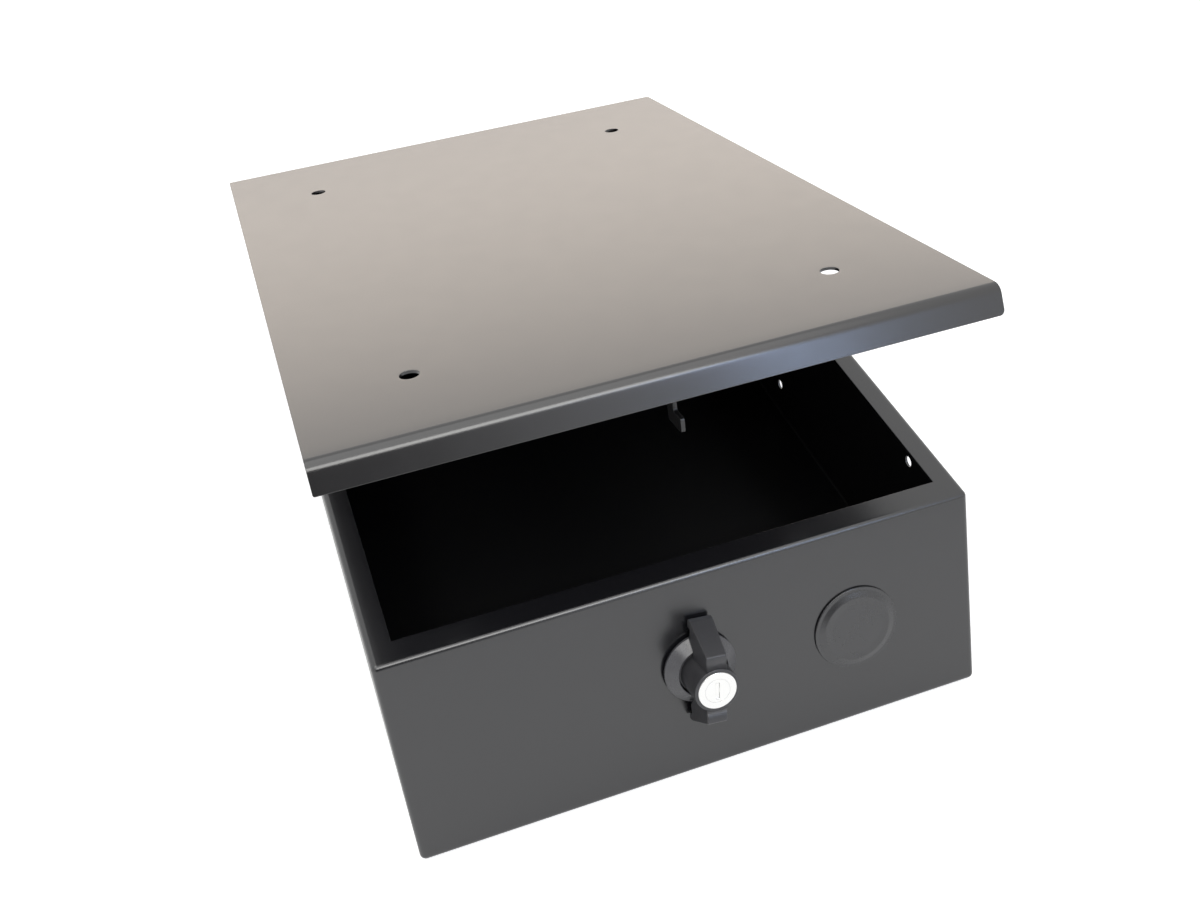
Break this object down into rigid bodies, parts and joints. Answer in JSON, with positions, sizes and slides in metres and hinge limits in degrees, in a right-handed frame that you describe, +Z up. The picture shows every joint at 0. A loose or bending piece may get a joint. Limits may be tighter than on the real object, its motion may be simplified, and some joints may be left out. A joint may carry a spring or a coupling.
{
  "type": "console lock box",
  "caption": "Low sheet-metal lock box with a leaning front, a flat hinged lid with a folded front flange, and a wing-knob key lock.",
  "frame": {"origin": "centre of the underside of the base", "axes": "+X to the right when facing the lock, +Y from the lock towards the hinge, +Z up"},
  "size_m": [0.309, 0.4931, 0.2188],
  "materials": {
    "box_steel": "satin powder coat",
    "lid_steel": "satin powder coat",
    "hinge_steel": "satin powder coat",
    "plug_cap": "satin",
    "lock_body": "satin",
    "gasket": "matte",
    "cylinder_face": "polished",
    "lock_steel": "zinc plated",
    "wafers": "plain"
  },
  "bodies": {
    "box": {"box_shell": "box_steel", "hinge_leaf_box": "hinge_steel", "hinge_pin": "lock_steel", "lock_gasket": "gasket", "lock_housing": "lock_body", "lock_washer": "lock_steel", "lock_nut": "lock_steel", "hole_plug": "plug_cap"},
    "lid": {"lid_panel": "lid_steel", "lid_keeper": "lid_steel", "hinge_leaf_lid": "hinge_steel"},
    "knob": {"wing_knob": "lock_body", "cylinder_sleeve": "cylinder_face", "lock_cam": "lock_steel", "cam_washer": "lock_steel", "cam_screw": "lock_steel"},
    "key_cylinder": {"key_plug": "cylinder_face", "wafer_1": "wafers", "wafer_2": "wafers", "wafer_3": "wafers", "wafer_4": "wafers", "wafer_5": "wafers", "plug_clip": "lock_steel"},
    "bolt": {"lock_bolt": "lock_steel"}
  },
  "joints": [
    {"name": "lid_hinge", "type": "hinge", "parent": "box", "child": "lid", "pos_m": [0, 0.24268, 0.10262], "axis": [-1, 0, 0], "range_deg": [-14.6, 85.4]},
    {"name": "knob_turn", "type": "hinge", "parent": "box", "child": "knob", "pos_m": [0, -0.21953, 0.0583], "axis": [0, 0.9435, -0.3313], "range_deg": [-6, 84]},
    {"name": "key_turn", "type": "hinge", "parent": "knob", "child": "key_cylinder", "pos_m": [0, -0.21953, 0.0583], "axis": [0, 0.9435, -0.3313], "range_deg": [0, 90]},
    {"name": "bolt_slide", "type": "slide", "parent": "knob", "child": "bolt", "axis": [1, 0, 0], "range_m": [0, 0.0024]}
  ],
  "couplings": [
    {"joint": "key_turn", "follows": "bolt_slide", "rad_per_m": 654.4}
  ]
}
